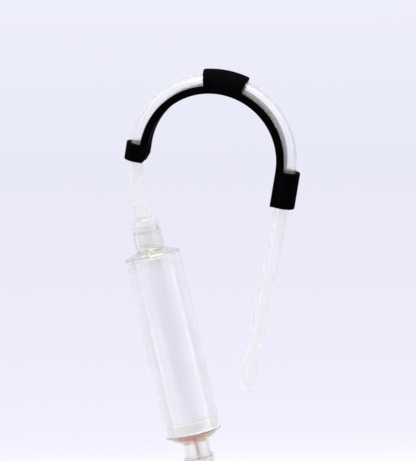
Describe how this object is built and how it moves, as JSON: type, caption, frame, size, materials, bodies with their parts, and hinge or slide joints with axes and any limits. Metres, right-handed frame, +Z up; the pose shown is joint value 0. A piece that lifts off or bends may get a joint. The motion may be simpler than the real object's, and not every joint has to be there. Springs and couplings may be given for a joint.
{
  "type": "gravel vacuum siphon",
  "caption": "Aquarium gravel vacuum: clear settling chamber with valve and intake tube on a soft clear hose, carried over the tank rim by a black arched hose guide.",
  "frame": {"origin": "highest point of the hose guide's inner curve, where the guide sits on the tank rim", "axes": "+Z up; the guide's arch lies in the XZ plane, +X towards the free end of the hose, the chamber hangs on the -X side and its foot leans to -Y, the front"},
  "size_m": [0.1796, 0.08, 0.5029],
  "materials": {
    "satin_black": "satin moulded black",
    "clear_hose": "clear soft PVC, slightly milky",
    "clear_plastic": "clear polished styrene",
    "pale_silicone": "translucent white silicone",
    "honey_silicone": "honey-coloured silicone",
    "red_silicone": "red-brown silicone"
  },
  "bodies": {
    "holder": {"hose_guide": "satin_black", "hose": "clear_hose", "hose_adapter": "clear_plastic", "adapter_oring_upper": "pale_silicone", "adapter_oring_lower": "pale_silicone", "fish_guard": "clear_plastic"},
    "head": {"top_cap": "clear_plastic", "top_cap_seal": "pale_silicone", "swivel_collar": "clear_plastic", "neck_gasket": "honey_silicone"},
    "barrel": {"chamber_tube": "clear_plastic"},
    "foot": {"bottom_cap": "clear_plastic", "bottom_cap_seal": "pale_silicone", "valve_plate": "clear_plastic", "valve_plate_seal": "red_silicone"},
    "valve": {"start_valve": "red_silicone"},
    "intake": {"intake_tube": "clear_plastic", "intake_seal": "red_silicone"}
  },
  "joints": [
    {"name": "chamber_swivel", "type": "hinge", "parent": "holder", "child": "head", "pos_m": [-0.0606, -0.008, -0.1707], "axis": [-0.2569, 0.1219, 0.9587], "continuous": true},
    {"name": "tube_pull", "type": "slide", "parent": "head", "child": "barrel", "axis": [0.2569, -0.1219, -0.9587], "range_m": [0, 0.012]},
    {"name": "foot_pull", "type": "slide", "parent": "barrel", "child": "foot", "axis": [0.2569, -0.1219, -0.9587], "range_m": [0, 0.012]},
    {"name": "valve_lift", "type": "slide", "parent": "foot", "child": "valve", "axis": [-0.2569, 0.1219, 0.9587], "range_m": [0, 0.004]},
    {"name": "intake_pull", "type": "slide", "parent": "foot", "child": "intake", "axis": [0.2569, -0.1219, -0.9587], "range_m": [0, 0.016]}
  ]
}
